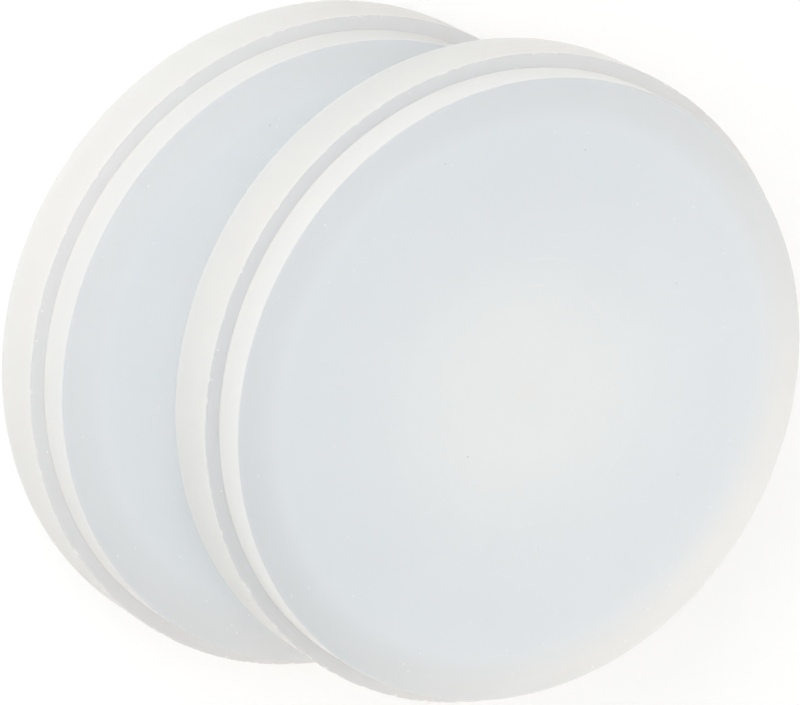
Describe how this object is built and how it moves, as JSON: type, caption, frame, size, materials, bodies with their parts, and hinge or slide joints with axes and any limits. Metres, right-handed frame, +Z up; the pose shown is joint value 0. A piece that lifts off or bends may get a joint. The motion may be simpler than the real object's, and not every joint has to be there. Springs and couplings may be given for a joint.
{
  "type": "resin casting mould",
  "caption": "Round milky silicone casting moulds with a thick ring, stepped wall and flat base, stored rim down in an offset stack; the upper one lifts off.",
  "frame": {"origin": "on the table, at the middle of the footprint of the stacked pair", "axes": "+Z up, out of the moulds' closed bases; +X along the sideways shift from the lower mould to the upper one"},
  "size_m": [0.1328, 0.11, 0.0345],
  "materials": {
    "lower_silicone": "satin milky translucent silicone",
    "upper_silicone": "satin milky translucent silicone"
  },
  "bodies": {
    "lower": {"lower_mould": "lower_silicone"},
    "upper": {"upper_mould": "upper_silicone"}
  },
  "joints": [
    {"name": "upper_lift", "type": "slide", "parent": "lower", "child": "upper", "axis": [0, 0, 1], "range_m": [0, 0.06]}
  ]
}
